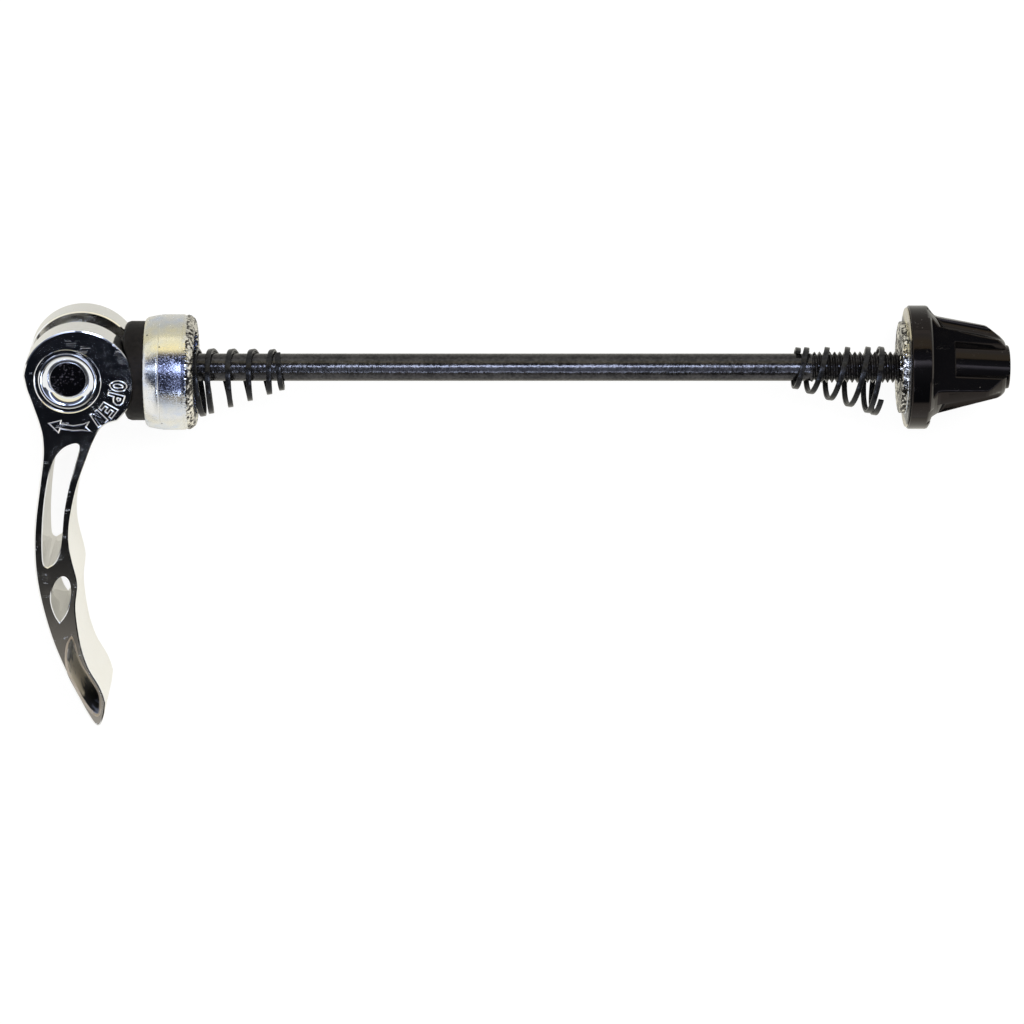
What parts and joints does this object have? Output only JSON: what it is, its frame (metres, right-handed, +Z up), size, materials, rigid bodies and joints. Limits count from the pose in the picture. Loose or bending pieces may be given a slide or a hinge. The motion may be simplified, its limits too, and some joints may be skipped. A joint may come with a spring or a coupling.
{
  "type": "quick release skewer",
  "caption": "Bicycle quick release skewer: forked cam lever on a pivot barrel, slim black rod, serrated clamp cup with saddle, conical springs and a lobed screw-on knob.",
  "frame": {"origin": "on the rod's axis, midway between the two serrated clamp faces", "axes": "+X along the rod from the lever to the nut, +Z up from the surface that the skewer lies on, lever blade towards -Y"},
  "size_m": [0.1549, 0.0692, 0.0194],
  "materials": {
    "black_steel": "black oxide, satin",
    "chrome_steel": "polished plating",
    "polished_alloy": "mirror polished",
    "matte_polymer": "moulded, matte",
    "zinc_plate": "zinc plated with small specks",
    "spring_steel": "black coated wire",
    "gloss_polymer": "moulded, glossy"
  },
  "bodies": {
    "axle": {"skewer_rod": "black_steel", "pivot_barrel": "chrome_steel"},
    "lever": {"cam_lever": "polished_alloy"},
    "clamp_head": {"clamp_cup": "zinc_plate", "cam_saddle": "matte_polymer", "cup_spring": "spring_steel"},
    "nut_carriage": {"nut_spring": "spring_steel"},
    "nut": {"nut_knob": "gloss_polymer", "nut_insert": "zinc_plate"}
  },
  "joints": [
    {"name": "lever_pivot", "type": "hinge", "parent": "axle", "child": "lever", "pos_m": [-0.07516, 0, 0], "axis": [0, 0.0508, -0.9987], "range_deg": [0, 180]},
    {"name": "cup_slide", "type": "slide", "parent": "axle", "child": "clamp_head", "axis": [1, 0, 0], "range_m": [0, 0.07]},
    {"name": "nut_travel", "type": "slide", "parent": "axle", "child": "nut_carriage", "axis": [1, 0, 0], "range_m": [-0.008, 0.004]},
    {"name": "nut_spin", "type": "hinge", "parent": "nut_carriage", "child": "nut", "pos_m": [0.0555, 0, 0], "axis": [1, 0, 0], "range_deg": [-3600, 1800]}
  ],
  "couplings": [
    {"joint": "nut_travel", "follows": "nut_spin", "m_per_rad": 0.00012732}
  ]
}
